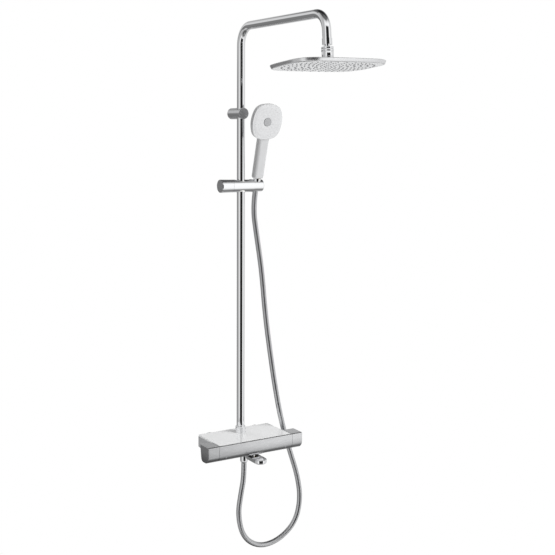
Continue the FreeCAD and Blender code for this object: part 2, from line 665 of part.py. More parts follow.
def arm_collar():
    """Chrome collar over the end of the drop tube."""
    body = rod(drop_point(20.8), drop_point(35.6), 12.1)
    return cut_all(body, [rod(drop_point(20), drop_point(32.0), TUBE_R + 0.05),
                          rod(drop_point(30), drop_point(40), 6.6)])


def ball_stem():
    """Hollow ball on a neck, screwed into the drop tube."""
    plug = rod(drop_point(12), drop_point(31), TUBE_BORE - 0.05)
    neck = rod(drop_point(30), drop_point(BALL_DISTANCE), 6.5)
    ball = Part.makeSphere(BALL_R, BALL)
    ball = ball.cut(rod(drop_point(BALL_DISTANCE + 8.0), drop_point(BALL_DISTANCE + 20), 12))
    solid = fuse_all([plug, neck, ball])
    return solid.cut(rod(drop_point(10), drop_point(BALL_DISTANCE + 20), 4.0))


# ---------------------------------------------------------------- rain head

SEAT_OUTER_R = 12.6


def tilted(shape):
    """Turn a head part, built level about the ball's centre, to the head's rest attitude."""
    shape.rotate(BALL, X_AXIS, HEAD_TILT_X)
    shape.rotate(BALL, Y_AXIS, HEAD_TILT_Y)
    return shape


def head_outline(z, inset):
    """Outline of the head at a height z below the ball's centre."""
    level = BALL + Z_AXIS * z

    def spot(x, y):
        return level + V(x, y, 0)

    return bowed_wire(spot, HEAD_WIDTH / 2 - inset, HEAD_DEPTH / 2 - inset, HEAD_CORNER_R - inset,
                      HEAD_SIDE_R - inset, HEAD_FRONT_R - inset)


def head_slab(z0, inset0, z1, inset1):
    """Solid between two head outlines."""
    return Part.makeLoft([head_outline(z0, inset0), head_outline(z1, inset1)], True, True)


FACE_Z = -HEAD_DROP
RIM_TOP = FACE_Z + HEAD_EDGE
HUB_R = 14.0
HUB_TOP = -12.0
PLATE_INSET = 6.2
NOZZLE_RINGS = 7
NOZZLES_PER_RING = 6         # more in each ring than in the one inside it
NOZZLE_REACH_X = 117.5
NOZZLE_REACH_Y = 76.5
SCREW_SPOTS = [(x, y) for x in (-100, 0, 100) for y in (-62, 62)]


def head_cover():
    """Chromed upper shell: rim, low roof and a hub for the ball joint."""
    rim = head_slab(FACE_Z, 3.2, RIM_TOP, 0.0)
    roof = head_slab(RIM_TOP, 0.0, RIM_TOP + 2.0, 9.0)
    hub = rod(BALL + Z_AXIS * (RIM_TOP - 1), BALL + Z_AXIS * HUB_TOP, HUB_R)
    flare = cone(BALL + Z_AXIS * (RIM_TOP + 1.5), BALL + Z_AXIS * (RIM_TOP + 6), 22.0, HUB_R)
    body = fuse_all([rim, roof, flare, hub])
    tools = [head_slab(FACE_Z - 1, PLATE_INSET - 0.1, FACE_Z + 2.6, PLATE_INSET - 0.1),
             head_slab(FACE_Z + 2.5, PLATE_INSET + 2.0, RIM_TOP - 0.6, PLATE_INSET + 2.0),
             rod(BALL + Z_AXIS * FACE_Z, BALL + Z_AXIS * (HUB_TOP + 1), 7.0)]
    for x, y in SCREW_SPOTS:
        spot = BALL + V(x, y, 0)
        tools.append(rod(spot + Z_AXIS * (FACE_Z + 2), spot + Z_AXIS * (RIM_TOP + 0.6), 1.6))
    return tilted(cut_all(body, tools))


def spray_plate():
    """Light grey face plate with a bore for each nozzle."""
    plate = head_slab(FACE_Z, PLATE_INSET, FACE_Z + 2.4, PLATE_INSET)
    bores = []
    for x, y in nozzle_spots():
        spot = BALL + V(x, y, 0)
        bores.append(rod(spot + Z_AXIS * (FACE_Z - 1), spot + Z_AXIS * (FACE_Z + 4), 1.75))
    return tilted(plate.cut(Part.makeCompound(bores)))


def nozzle_spots():
    """Concentric rounded rings of nozzles, spaced evenly enough to keep the same pitch."""
    spots = [(0.0, 0.0)]
    for ring in range(1, NOZZLE_RINGS + 1):
        share = ring / NOZZLE_RINGS
        count = NOZZLES_PER_RING * ring
        for k in range(count):
            angle = 2 * math.pi * (k + 0.5 * (ring % 2)) / count
            c = math.cos(angle)
            s = math.sin(angle)
            x = share * NOZZLE_REACH_X * math.copysign(abs(c) ** 0.82, c)
            y = share * NOZZLE_REACH_Y * math.copysign(abs(s) ** 0.82, s)
            spots.append((x, y))
    return spots


def rain_nozzles():
    """Soft nozzles, one solid each, standing a little proud of the face."""
    nozzles = []
    for x, y in nozzle_spots():
        spot = BALL + V(x, y, FACE_Z - 1.0)
        nozzles.append(spun([(0.5, 0), (1.1, 0), (1.7, 2.2), (1.7, 3.6), (0.5, 3.6)], spot, Z_AXIS, X_AXIS))
    return tilted(Part.makeCompound(nozzles))


def head_gasket():
    """Flat seal between the face plate and the shell."""
    ring = head_slab(FACE_Z + 2.62, PLATE_INSET + 2.2, FACE_Z + 3.6, PLATE_INSET + 2.2)
    inner = head_slab(FACE_Z + 2, PLATE_INSET + 4.6, FACE_Z + 4, PLATE_INSET + 4.6)
    return tilted(ring.cut(inner))


def head_screws():
    """Screws that hold the face plate's bosses to the shell."""
    screws = []
    for x, y in SCREW_SPOTS:
        spot = BALL + V(x, y, 0)
        head = rod(spot + Z_AXIS * (FACE_Z + 3.7), spot + Z_AXIS * (FACE_Z + 5.2), 2.8)
        shank = rod(spot + Z_AXIS * (FACE_Z + 5.0), spot + Z_AXIS * (RIM_TOP + 0.4), 1.5)
        screws.append(head.fuse(shank).removeSplitter())
    return tilted(Part.makeCompound(screws))


def swivel_nut():
    """Chrome nut around the ball, screwed on the head's hub."""
    base = BALL + Z_AXIS * (HUB_TOP + 0.1)
    body = rod(base, BALL + Z_AXIS * 9.0, 14.4)
    band = rod(BALL - Z_AXIS * 1.0, BALL + Z_AXIS * 11.5, 15.1)
    body = fuse_all([body, band])
    tools = [Part.makeSphere(SEAT_OUTER_R + RUN, BALL),
             rod(BALL - Z_AXIS * 13, BALL, SEAT_OUTER_R + RUN),
             cone(BALL + Z_AXIS * 7.0, BALL + Z_AXIS * 12, 9.4, 10.8)]
    return tilted(cut_all(body, tools))


def ball_seat():
    """Low-friction ring between the ball and the nut."""
    ring = Part.makeSphere(SEAT_OUTER_R, BALL).cut(Part.makeSphere(BALL_R + RUN, BALL))
    slab = rod(BALL - Z_AXIS * 5.5, BALL + Z_AXIS * 5.5, 20)
    return ring.common(slab)


# ---------------------------------------------------------------- slider and holder

SLIDER_LEFT = -30.0
SLIDER_RIGHT = 35.0
LOCK_END = -65.5
HOLDER_END = 66.0
BUSH_R = 13.2
SOCKET_LOW_R = 9.3
SOCKET_TOP_R = 11.3


def slider_axis_point(x):
    """Point on the slider's own horizontal axis."""
    return V(x, COLUMN_Y, SLIDER_Z)


def slider_body():
    """Round cross-bar that slides on the riser."""
    body = rod(slider_axis_point(SLIDER_LEFT), slider_axis_point(SLIDER_RIGHT), SLIDER_R)
    tools = [rod(V(0, COLUMN_Y, SLIDER_Z - 30), V(0, COLUMN_Y, SLIDER_Z + 30), BUSH_R + 0.05),
             rod(slider_axis_point(SLIDER_LEFT - 1), slider_axis_point(0), 4.0 + RUN),
             rod(slider_axis_point(0), slider_axis_point(SLIDER_RIGHT + 1), 6.0 + RUN)]
    trough = block(SLIDER_LEFT + 9, SLIDER_RIGHT - 4, COLUMN_Y - 7, COLUMN_Y + 7,
                   SLIDER_Z + 13.2, SLIDER_Z + 20)
    return cut_all(body, tools + [trough])


def slider_bush():
    """Plastic liner that runs on the riser."""
    bush = pipe(V(0, COLUMN_Y, SLIDER_Z - 15.5), V(0, COLUMN_Y, SLIDER_Z + 13.0), BUSH_R, TUBE_R + RUN)
    return bush


def lock_knob():
    """Clamp knob on the slider's left end."""
    length = SLIDER_LEFT - LOCK_END
    profile = [(4.0, 0.4), (SLIDER_R, 0.4), (SLIDER_R + 0.2, 12), (18.2, length - 2.0), (17.7, length),
               (16.9, length), (16.9, length - 0.5), (4.0, length - 0.5)]
    return spun(profile, slider_axis_point(SLIDER_LEFT), -X_AXIS, Z_AXIS)


def lock_knob_disc():
    """Satin disc let into the end of the clamp knob."""
    return rod(slider_axis_point(LOCK_END + 0.45), slider_axis_point(LOCK_END - 0.4), 16.8)


def lock_screw():
    """Clamp screw turned by the knob; its tip presses on the bush."""
    shank = rod(slider_axis_point(LOCK_END + 1.0), slider_axis_point(-BUSH_R - 0.4), 3.98)
    thread = [pipe(slider_axis_point(-28 + 2 * k), slider_axis_point(-27 + 2 * k), 5.0, 3.5) for k in range(6)]
    return cut_all(shank, thread)


def holder_pivot():
    """Steel pin that the handset holder turns on."""
    pin = rod(slider_axis_point(BUSH_R + 1.2), slider_axis_point(37.4), 6.0)
    return pin.cut(pipe(slider_axis_point(20), slider_axis_point(21.4), 8.0, 5.2))


def handset_holder():
    """Swivelling cone socket for the handset, on the slider's right end."""
    body = rod(slider_axis_point(SLIDER_RIGHT + 0.4), slider_axis_point(HOLDER_END), 16.8)
    rim = [e for e in body.Edges if min(v.X for v in e.Vertexes) > HOLDER_END - 0.1]
    body = body.makeFillet(2.0, rim)
    socket = cone(handset_point(0, 0, -20), handset_point(0, 0, 20), SOCKET_LOW_R, SOCKET_TOP_R)
    slot = block(-HOSE_R - 0.6, HOSE_R + 0.6, 0, 30, -30, 30)
    slot.rotate(V(0, 0, 0), X_AXIS, HANDSET_LEAN)
    slot.translate(HOLDER)
    pivot_bore = rod(slider_axis_point(30), slider_axis_point(37.6), 6.02)
    return cut_all(body, [socket, slot, pivot_bore])


# ---------------------------------------------------------------- handset

HANDLE_TOP = 142.0
FACE_FRONT = 12.0
FACE_REAR = -2.0
FACE_CORNER_R = 28.0
FACE_SIDE_R = 78.0
BUTTON_R = 11.0


def face_outline(forward, inset):
    """Outline of the handset's head at a forward offset from the handle's axis."""

    def spot(x, along):
        return handset_point(x, forward, HANDSET_FACE_S + along)

    return bowed_wire(spot, HANDSET_WIDTH / 2 - inset, HANDSET_HEIGHT / 2 - inset, FACE_CORNER_R - inset,
                      FACE_SIDE_R - inset, FACE_SIDE_R - inset)


def face_slab(forward0, inset0, forward1, inset1):
    """Solid between two outlines of the handset's head."""
    return Part.makeLoft([face_outline(forward0, inset0), face_outline(forward1, inset1)], True, True)


def handle_section(along, half_w, front, rear, radius):
    """Rounded rectangular section of the handle."""
    corners = [handset_point(-half_w, rear, along), handset_point(half_w, rear, along),
               handset_point(half_w, front, along), handset_point(-half_w, front, along)]
    return rounded_wire(corners, [radius] * 4)


def handset_body():
    """White shell: handle and the round-cornered rear of the spray head."""
    head = [face_slab(FACE_REAR + 3.0, 0.3, FACE_FRONT - 1.4, 0.0),
            face_slab(FACE_REAR, 3.0, FACE_REAR + 3.01, 0.3),
            face_slab(FACE_REAR - 4.0, 11.0, FACE_REAR + 0.01, 3.0),
            face_slab(FACE_REAR - 7.0, 22.0, FACE_REAR - 3.99, 11.0)]
    handle = Part.makeLoft([handle_section(HANDLE_START, 14.8, 9.7, -9.7, 7.5),
                            handle_section(HANDLE_START + 3.0, 16.0, 10.7, -10.7, 8.0),
                            handle_section(70, 16.1, 10.8, -10.6, 8.0),
                            handle_section(110, 16.3, 10.6, -10.0, 7.8),
                            handle_section(HANDLE_TOP + 10, 16.8, 10.2, -8.4, 7.0)], True, True)
    shell = fuse_all(head + [handle])
    tools = [face_slab(FACE_FRONT - 6.0, 4.6, FACE_FRONT + 1, 4.6),
             rod(handset_point(0, 0, HANDLE_START - 1), handset_point(0, 0, HANDLE_START + 16), 8.45),
             rod(handset_point(0, 0, HANDLE_START + 10), handset_point(0, 0, HANDSET_FACE_S), 4.5),
             rod(handset_point(0, -2, HANDSET_FACE_S), handset_point(0, 8, HANDSET_FACE_S), 14.0)]
    return cut_all(shell, tools)


def handset_face():
    """Pale grey spray plate let into the front of the handset."""
    plate = face_slab(FACE_FRONT - 1.3, 1.2, FACE_FRONT + 0.2, 1.8)
    tools = [rod(handset_point(0, FACE_FRONT - 3, HANDSET_FACE_S),
                 handset_point(0, FACE_FRONT + 2, HANDSET_FACE_S), BUTTON_R + GAP)]
    for x, along in handset_nozzle_spots():
        tools.append(rod(handset_point(x, FACE_FRONT - 3, along), handset_point(x, FACE_FRONT + 2, along), 1.1))
    return plate.cut(Part.makeCompound(tools))


def handset_nozzle_spots():
    """Rings of nozzles around the button."""
    spots = []
    for scale, count in ((0.47, 14), (0.66, 20), (0.86, 28)):
        for k in range(count):
            angle = 2 * math.pi * (k + 0.5) / count
            c = math.cos(angle)
            s = math.sin(angle)
            x = scale * 41.5 * math.copysign(abs(c) ** 0.76, c)
            along = scale * 43.5 * math.copysign(abs(s) ** 0.76, s)
            spots.append((x, HANDSET_FACE_S + along))
    return spots


def handset_nozzles():
    """Soft nozzles in the spray plate."""
    nozzles = []
    for x, along in handset_nozzle_spots():
        nozzles.append(rod(handset_point(x, FACE_FRONT - 1.2, along),
                           handset_point(x, FACE_FRONT + 0.7, along), 1.0))
    return Part.makeCompound(nozzles)


def handset_button():
    """Round spray selector button in the middle of the face."""
    front = handset_point(0, FACE_FRONT + 1.0, HANDSET_FACE_S)
    rear = handset_point(0, FACE_FRONT - 3.4, HANDSET_FACE_S)
    body = rod(rear, front, BUTTON_R)
    rim = [e for e in body.Edges
           if min((v.Point - front).Length for v in e.Vertexes) < BUTTON_R + 0.1]
    body = body.makeFillet(0.8, rim)
    stem = rod(handset_point(0, FACE_FRONT - 6.6, HANDSET_FACE_S), rear, 3.0)
    return fuse_all([body, stem])


def button_spring():
    """Return spring behind the button, as a closed sleeve of its outer size."""
    return pipe(handset_point(0, -1.9, HANDSET_FACE_S), handset_point(0, FACE_FRONT - 3.5, HANDSET_FACE_S),
                5.4, 3.6)


def handset_inlet():
    """Threaded inlet insert in the foot of the handle."""
    inlet = pipe(handset_point(0, 0, 6.0), handset_point(0, 0, HANDLE_START + 15), 8.4, 5.0)
    return inlet


def hose_upper_nut():
    """Cone nut at the handset end of the hose; it seats in the holder."""
    base = handset_point(0, 0, NUT_BOTTOM)
    length = HANDLE_START - 0.3 - NUT_BOTTOM
    taper = (SOCKET_TOP_R - SOCKET_LOW_R) / 40
    low = SOCKET_LOW_R + taper * (20 + NUT_BOTTOM) - GAP
    high = low + taper * 32.0
    profile = [(5.2, 0), (low, 0), (high, 32.0), (high - 0.8, length), (8.5, length), (8.5, 18.2), (5.2, 18.2)]
    return spun(profile, base, HANDLE_DIR, X_AXIS)


# ---------------------------------------------------------------- hose

HOSE_EXIT = handset_point(0, 0, NUT_BOTTOM)
HOSE_END = V(0, HOSE_OUTLET_Y, HOSE_NUT_BOTTOM)
HOSE_ROUTE = [HOSE_EXIT,
              handset_point(0, 0, NUT_BOTTOM - 52),
              V(63, -31, 590),
              V(80, -31, 490),
              V(89, -36, 365),
              V(103, -43, 245),
              V(116, -52, 140),
              V(133, -58, 45),
              V(159, -63, -45),
              V(185, -67, -125),
              V(195, -69, -200),
              V(176, -70, -268),
              V(118, -70, -310),
              V(52, -70, -316),
              V(-2, -70, -278),
              V(-20, -70, -205),
              V(-9, -70, -140),
              V(0, -70, -97),
              HOSE_END]


def arc_radii(route):
    """Largest tangent arc that each inner point's two runs allow, times 0.45."""
    radii = []
    for k in range(1, len(route) - 1):
        back = route[k - 1] - route[k]
        ahead = route[k + 1] - route[k]
        half_turn = (math.pi - back.getAngle(ahead)) / 2
        radii.append(0.45 * min(back.Length, ahead.Length) / math.tan(half_turn))
    return radii


def shower_hose():
    """Smooth hose from the handset's nut round to the mixer's outlet."""
    radii = arc_radii(HOSE_ROUTE)
    path = tube_path(HOSE_ROUTE, radii)
    tube = swept(path, HOSE_R)
    section = math.pi * HOSE_R ** 2
    print("hose radii, mm:", [round(r) for r in radii])
    print("hose runs, mm:", [round((b - a).Length) for a, b in zip(HOSE_ROUTE, HOSE_ROUTE[1:])])
    print("hose length, mm:", round(path.Length, 1))
    print("hose volume / (section x length):", round(tube.Volume / (section * path.Length), 4))
    return tube


# ---------------------------------------------------------------- all nodes

NODES = {
    "s_union_left": s_union(-1),
    "s_union_right": s_union(1),
    "escutcheon_left": escutcheon(-1),
    "escutcheon_right": escutcheon(1),
    "union_nut_left": union_nut(-1),
    "union_nut_right": union_nut(1),
    "inlet_filters": Part.makeCompound([inlet_filter(side) for side in SIDES]),
    "check_valves": Part.makeCompound([check_valve(side) for side in SIDES]),
    "mixer_body": mixer_body(),
    "thermostatic_cartridge": cartridge(-1, 4),
    "diverter_cartridge": cartridge(1, 3),
    "temperature_spindle": spindle(-1),
    "diverter_spindle": spindle(1),
    "temperature_knob": knob(-1),
    "diverter_knob": knob(1),
    "front_bar": front_bar(),
    "rear_housing": rear_housing(),
    "shelf_plate": shelf_plate(),
    "diverter_tab": diverter_tab(),
    "bath_spout": spout(),
    "spout_o_ring": spout_o_ring(),
    "spout_aerator": aerator(),
    "hose_outlet_nipple": hose_outlet_nipple(),
    "hose_lower_washer": hose_washer(V(0, HOSE_OUTLET_Y, HOSE_NUT_BOTTOM + 12.9), Z_AXIS, 8.9),
    "hose_lower_nut": hose_lower_nut(),
    "shower_hose": shower_hose(),
    "hose_upper_nut": hose_upper_nut(),
    "hose_upper_washer": hose_washer(handset_point(0, 0, 4.2), HANDLE_DIR, 8.2),
    "column_ferrule": column_ferrule(),
    "column_tube": column_tube(),
    "column_inlet_sleeve": column_inlet_sleeve(),
    "swivel_bush": swivel_bush(),
    "swivel_o_rings": swivel_o_rings(),
    "bracket_sleeve": bracket_sleeve(),
    "bracket_foot": bracket_foot(),
    "bracket_grub_screw": bracket_grub_screw(),
    "bracket_cap": bracket_cap(),
    "arm_tube": arm_tube(),
    "arm_collar": arm_collar(),
    "ball_stem": ball_stem(),
    "ball_seat": ball_seat(),
    "swivel_nut": swivel_nut(),
    "head_cover": head_cover(),
    "head_gasket": head_gasket(),
    "head_screws": head_screws(),
    "spray_plate": spray_plate(),
    "rain_nozzles": rain_nozzles(),
    "slider_body": slider_body(),
    "slider_bush": slider_bush(),
    "lock_knob": lock_knob(),
    "lock_knob_disc": lock_knob_disc(),
    "lock_screw": lock_screw(),
    "holder_pivot": holder_pivot(),
    "handset_holder": handset_holder(),
    "handset_body": handset_body(),
    "handset_face": handset_face(),
    "handset_nozzles": handset_nozzles(),
    "handset_button": handset_button(),
    "button_spring": button_spring(),
    "handset_inlet": handset_inlet(),
}

os.makedirs("parts", exist_ok=True)
for name, shape in NODES.items():
    if not shape.isValid():
        print("not valid:", name)
    shape.exportStep(os.path.join("parts", name + ".step"))
print(len(NODES), "nodes written")
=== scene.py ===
"""Looks for the rainfall shower column: camera, studio light, materials and detailed pieces.

Lengths are in metres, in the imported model's own frame: the origin is midway between the wall
inlets on the wall, +X right, +Y into the wall, +Z up.
"""
import json
import math

import bpy
import bmesh
from mathutils import Matrix, Vector


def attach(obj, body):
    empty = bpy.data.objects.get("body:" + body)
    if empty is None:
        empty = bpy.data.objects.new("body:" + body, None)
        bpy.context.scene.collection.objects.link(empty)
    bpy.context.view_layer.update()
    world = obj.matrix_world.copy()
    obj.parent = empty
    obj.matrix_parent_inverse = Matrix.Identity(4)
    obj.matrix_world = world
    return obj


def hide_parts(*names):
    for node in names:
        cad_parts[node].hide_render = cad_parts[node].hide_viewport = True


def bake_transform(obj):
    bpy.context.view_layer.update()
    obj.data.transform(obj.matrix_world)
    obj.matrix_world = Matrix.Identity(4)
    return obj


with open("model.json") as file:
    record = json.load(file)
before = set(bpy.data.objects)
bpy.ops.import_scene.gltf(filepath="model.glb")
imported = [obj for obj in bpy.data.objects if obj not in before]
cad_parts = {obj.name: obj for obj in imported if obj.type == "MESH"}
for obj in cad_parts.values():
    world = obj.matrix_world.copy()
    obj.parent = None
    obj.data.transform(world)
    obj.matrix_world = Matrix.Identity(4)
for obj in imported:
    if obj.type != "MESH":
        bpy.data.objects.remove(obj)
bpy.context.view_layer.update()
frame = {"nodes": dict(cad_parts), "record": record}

MM = 0.001
nodes = frame["nodes"]
X_AXIS = Vector((1, 0, 0))


# ---------------------------------------------------------------- camera
CAMERA_PLACE = Vector((-1.3907, -2.4752, 0.8744))
CAMERA_HEADING = math.radians(31.94)
CAMERA_PITCH = math.radians(8.06)
CAMERA_ROLL = math.radians(0.376)
CAMERA_LENS = 65.44
SENSOR_WIDTH = 36.0


def make_camera():
    data = bpy.data.cameras.new("camera")
    data.lens = CAMERA_LENS
    data.sensor_width = SENSOR_WIDTH
    data.clip_start = 0.05
    data.clip_end = 60.0
    camera = bpy.data.objects.new("camera", data)
    bpy.context.scene.collection.objects.link(camera)
    level = math.cos(CAMERA_PITCH)
    forward = Vector((math.sin(CAMERA_HEADING) * level, math.cos(CAMERA_HEADING) * level,
                      -math.sin(CAMERA_PITCH)))
    right = Vector((math.cos(CAMERA_HEADING), -math.sin(CAMERA_HEADING), 0))
    up = right.cross(forward)
    rolled_right = right * math.cos(CAMERA_ROLL) + up * math.sin(CAMERA_ROLL)
    rolled_up = up * math.cos(CAMERA_ROLL) - right * math.sin(CAMERA_ROLL)
    turn = Matrix((rolled_right, rolled_up, -forward)).transposed()
    camera.matrix_world = Matrix.Translation(CAMERA_PLACE) @ turn.to_4x4()
    bpy.context.scene.camera = camera


make_camera()


# ---------------------------------------------------------------- places taken from the model
LEAN = math.radians(15.0)            # the handset leans forward
HANDLE_DIR = Vector((0, -math.sin(LEAN), math.cos(LEAN)))
FACE_DIR = Vector((0, -math.cos(LEAN), -math.sin(LEAN)))
HOLDER = Vector((0.0492, -0.050, 0.734))
BALL = Vector((0.0, -0.46222, 1.07002))
HEAD_ROLL = math.radians(-1.1)
HEAD_NOD = math.radians(-4.4)
HEAD_TURN = Matrix.Rotation(HEAD_ROLL, 3, "Y") @ Matrix.Rotation(HEAD_NOD, 3, "X")


def handset_point(x, forward, along):
    """Point in metres from the holder's centre in the handset's own directions, in millimetres."""
    return HOLDER + (X_AXIS * x + FACE_DIR * forward + HANDLE_DIR * along) * MM


def head_point(x, y, z):
    """Point in metres of the tilted rain head, from the ball's centre, in millimetres."""
    return BALL + HEAD_TURN @ (Vector((x, y, z)) * MM)


# ---------------------------------------------------------------- mesh helpers

def new_piece(name, points, faces, sharp=math.radians(40)):
    """Smooth-shaded object from points and faces, with edges sharper than the limit kept crisp."""
    mesh = bpy.data.meshes.new(name)
    mesh.from_pydata([tuple(point) for point in points], [], faces)
    shape = bmesh.new()
    shape.from_mesh(mesh)
    bmesh.ops.recalc_face_normals(shape, faces=shape.faces)
    for face in shape.faces:
        face.smooth = True
    for edge in shape.edges:
        if len(edge.link_faces) == 2 and edge.calc_face_angle(0.0) > sharp:
            edge.smooth = False
    shape.to_mesh(mesh)
    shape.free()
    piece = bpy.data.objects.new(name, mesh)
    bpy.context.scene.collection.objects.link(piece)
    return piece


def loft_faces(rings, count, closed=False):
    """Quads between rings of count points each; closed joins the last ring to the first."""
    faces = []
    for ring in range(rings if closed else rings - 1):
        base = ring * count
        ahead = ((ring + 1) % rings) * count
        for k in range(count):
            after = (k + 1) % count
            faces.append((base + k, base + after, ahead + after, ahead + k))
    return faces


def lathe(name, profile, place, steps=72):
    """Closed ring of revolution; profile is (radius, height) in millimetres round a closed loop."""
    points = []
    for radius, height in profile:
        for k in range(steps):
            angle = 2 * math.pi * k / steps
            points.append(place(radius * math.cos(angle), radius * math.sin(angle), height))
    return new_piece(name, points, loft_faces(len(profile), steps, closed=True))


# ---------------------------------------------------------------- hose
HOSE_R = 0.0075
HOSE_ROUTE = [(0, -0.070, -0.053), (0, -0.070, -0.097), (-0.009, -0.070, -0.140),
              (-0.020, -0.070, -0.205), (-0.002, -0.070, -0.278), (0.052, -0.070, -0.316),
              (0.118, -0.070, -0.310), (0.176, -0.070, -0.268), (0.195, -0.069, -0.200),
              (0.185, -0.067, -0.125), (0.159, -0.063, -0.045), (0.133, -0.058, 0.045),
              (0.116, -0.052, 0.140), (0.103, -0.043, 0.245), (0.089, -0.036, 0.365),
              (0.080, -0.031, 0.490), (0.063, -0.031, 0.590), handset_point(0, 0, -66),
              handset_point(0, 0, -14)]
RIB_PITCH = 0.0034
RIB_RADII = (1.0, 1.0, 0.986, 0.986)     # shallow rings under the hose's smooth skin
HOSE_SIDES = 28
RIB_SHARP = math.radians(80)
TILT_SPAN = (0.066, 0.024)               # length before the end that bends as the holder tilts
CURVE_STEPS = 40


def nurbs_line(route):
    """Points along the smooth curve that has the route as its control points."""
    curve = bpy.data.curves.new("route", "CURVE")
    curve.dimensions = "3D"
    curve.resolution_u = CURVE_STEPS
    spline = curve.splines.new("NURBS")
    spline.points.add(len(route) - 1)
    for point, place in zip(spline.points, route):
        point.co = (*place, 1)
    spline.order_u = 3
    spline.use_endpoint_u = True
    holder = bpy.data.objects.new("route", curve)
    bpy.context.scene.collection.objects.link(holder)
    mesh = bpy.data.meshes.new_from_object(holder)
    line = [vertex.co.copy() for vertex in mesh.vertices]
    bpy.data.objects.remove(holder)
    bpy.data.meshes.remove(mesh)
    return line


def even_steps(line, step):
    """The same line with points a fixed distance apart."""
    result = [line[0]]
    spare = 0.0
    for first, second in zip(line, line[1:]):
        run = (second - first).length
        done = step - spare
        while done <= run:
            result.append(first.lerp(second, done / run))
            done += step
        spare = run - (done - step)
    if (result[-1] - line[-1]).length > step * 0.5:
        result.append(line[-1])
    else:
        result[-1] = line[-1]
    return result


def hose_frames(line):
    """A direction and two steady sides at each point of a line."""
    frames = []
    side = X_AXIS
    for k, point in enumerate(line):
        ahead = line[min(k + 1, len(line) - 1)] - line[max(k - 1, 0)]
        ahead.normalize()
        side = (side - ahead * side.dot(ahead)).normalized()
        frames.append((point, side, ahead.cross(side)))
    return frames


def hose_part(name, frames, first, last):
    """Ribbed tube over the frames from first to last."""
    points = []
    for k in range(first, last + 1):
        centre, side, up = frames[k]
        radius = HOSE_R * RIB_RADII[k % len(RIB_RADII)]
        for turn in range(HOSE_SIDES):
            angle = 2 * math.pi * turn / HOSE_SIDES
            points.append(centre + (side * math.cos(angle) + up * math.sin(angle)) * radius)
    return new_piece(name, points, loft_faces(last - first + 1, HOSE_SIDES), sharp=RIB_SHARP)


def make_hose():
    """The hose: one long piece, and two short ones at its end by the holder."""
    step = RIB_PITCH / len(RIB_RADII)
    line = even_steps(nurbs_line(HOSE_ROUTE), step)
    frames = hose_frames(line)
    last = len(line) - 1
    tilt_start = last - round(TILT_SPAN[0] / step)
    tilt_end = last - round(TILT_SPAN[1] / step)
    hose = hose_part("shower_hose_tube", frames, 0, tilt_start)
    bend = hose_part("hose_bend_below_nut", frames, tilt_start, tilt_end)
    neck = hose_part("hose_neck_at_nut", frames, tilt_end, last)
    for part in (hose, bend, neck):
        dress(part, "hose_skin")
    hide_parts("shower_hose")
    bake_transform(hose)
    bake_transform(bend)
    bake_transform(neck)


# ---------------------------------------------------------------- node helpers

class Tree:
    """Short way to add and join nodes of one tree."""

    def __init__(self, tree):
        self.tree = tree
        tree.nodes.clear()

    def add(self, kind, inputs=None, **settings):
        node = self.tree.nodes.new(kind)
        for key, value in settings.items():
            setattr(node, key, value)
        for key, value in (inputs or {}).items():
            if isinstance(value, bpy.types.NodeSocket):
                self.tree.links.new(value, node.inputs[key])
            else:
                node.inputs[key].default_value = value
        return node

    def math(self, operation, first, second=0.0, third=0.0):
        node = self.add("ShaderNodeMath", {0: first, 1: second, 2: third}, operation=operation)
        return node.outputs[0]

    def ramp(self, factor, stops):
        """Grey level from (place, level) stops."""
        node = self.add("ShaderNodeValToRGB", {"Fac": factor})
        ramp = node.color_ramp
        ramp.elements.remove(ramp.elements[1])
        for k, (place, value) in enumerate(stops):
            element = ramp.elements.new(place) if k else ramp.elements[0]
            element.position = place
            element.color = (value, value, value, 1)
        return node.outputs["Color"]


def new_material(name, colour, roughness, metallic=0.0, **sockets):
    """Principled material; returns it with its tree, shader and object coordinates.

    Further sockets are named with _ for a space.
    """
    material = bpy.data.materials.new(name)
    material.use_nodes = True
    tree = Tree(material.node_tree)
    shader = tree.add("ShaderNodeBsdfPrincipled")
    shader.inputs["Base Color"].default_value = (*colour, 1)
    shader.inputs["Roughness"].default_value = roughness
    shader.inputs["Metallic"].default_value = metallic
    for key, value in sockets.items():
        shader.inputs[key.replace("_", " ")].default_value = value
    tree.add("ShaderNodeOutputMaterial", {"Surface": shader.outputs[0]})
    place = tree.add("ShaderNodeTexCoord").outputs["Object"]
    return material, tree, shader, place


def noise(tree, place, scale, detail=3.0, stretch=(1, 1, 1)):
    """Noise value over the object, optionally stretched along an axis."""
    mapped = tree.add("ShaderNodeMapping", {"Vector": place, "Scale": stretch}).outputs[0]
    return tree.add("ShaderNodeTexNoise", {"Vector": mapped, "Scale": scale,
                                           "Detail": detail}).outputs[0]


NOISE_LOW = 0.3              # noise values hardly leave this range
NOISE_HIGH = 0.7


def vary_roughness(tree, shader, value, low, high):
    """Roughness runs from low to high with the value."""
    spread = tree.add("ShaderNodeMapRange", {0: value, 1: NOISE_LOW, 2: NOISE_HIGH, 3: low,
                                             4: high}).outputs[0]
    tree.tree.links.new(spread, shader.inputs["Roughness"])


def vary_colour(tree, shader, value, dark, light):
    """Base colour runs between two near shades with the value."""
    mix = tree.add("ShaderNodeMix", {"Factor": value}, data_type="RGBA")
    mix.inputs[6].default_value = (*dark, 1)
    mix.inputs[7].default_value = (*light, 1)
    tree.tree.links.new(mix.outputs[2], shader.inputs["Base Color"])


def add_bump(tree, shader, height, strength, distance):
    bump = tree.add("ShaderNodeBump", {"Height": height, "Strength": strength,
                                       "Distance": distance})
    tree.tree.links.new(bump.outputs[0], shader.inputs["Normal"])


# ---------------------------------------------------------------- materials

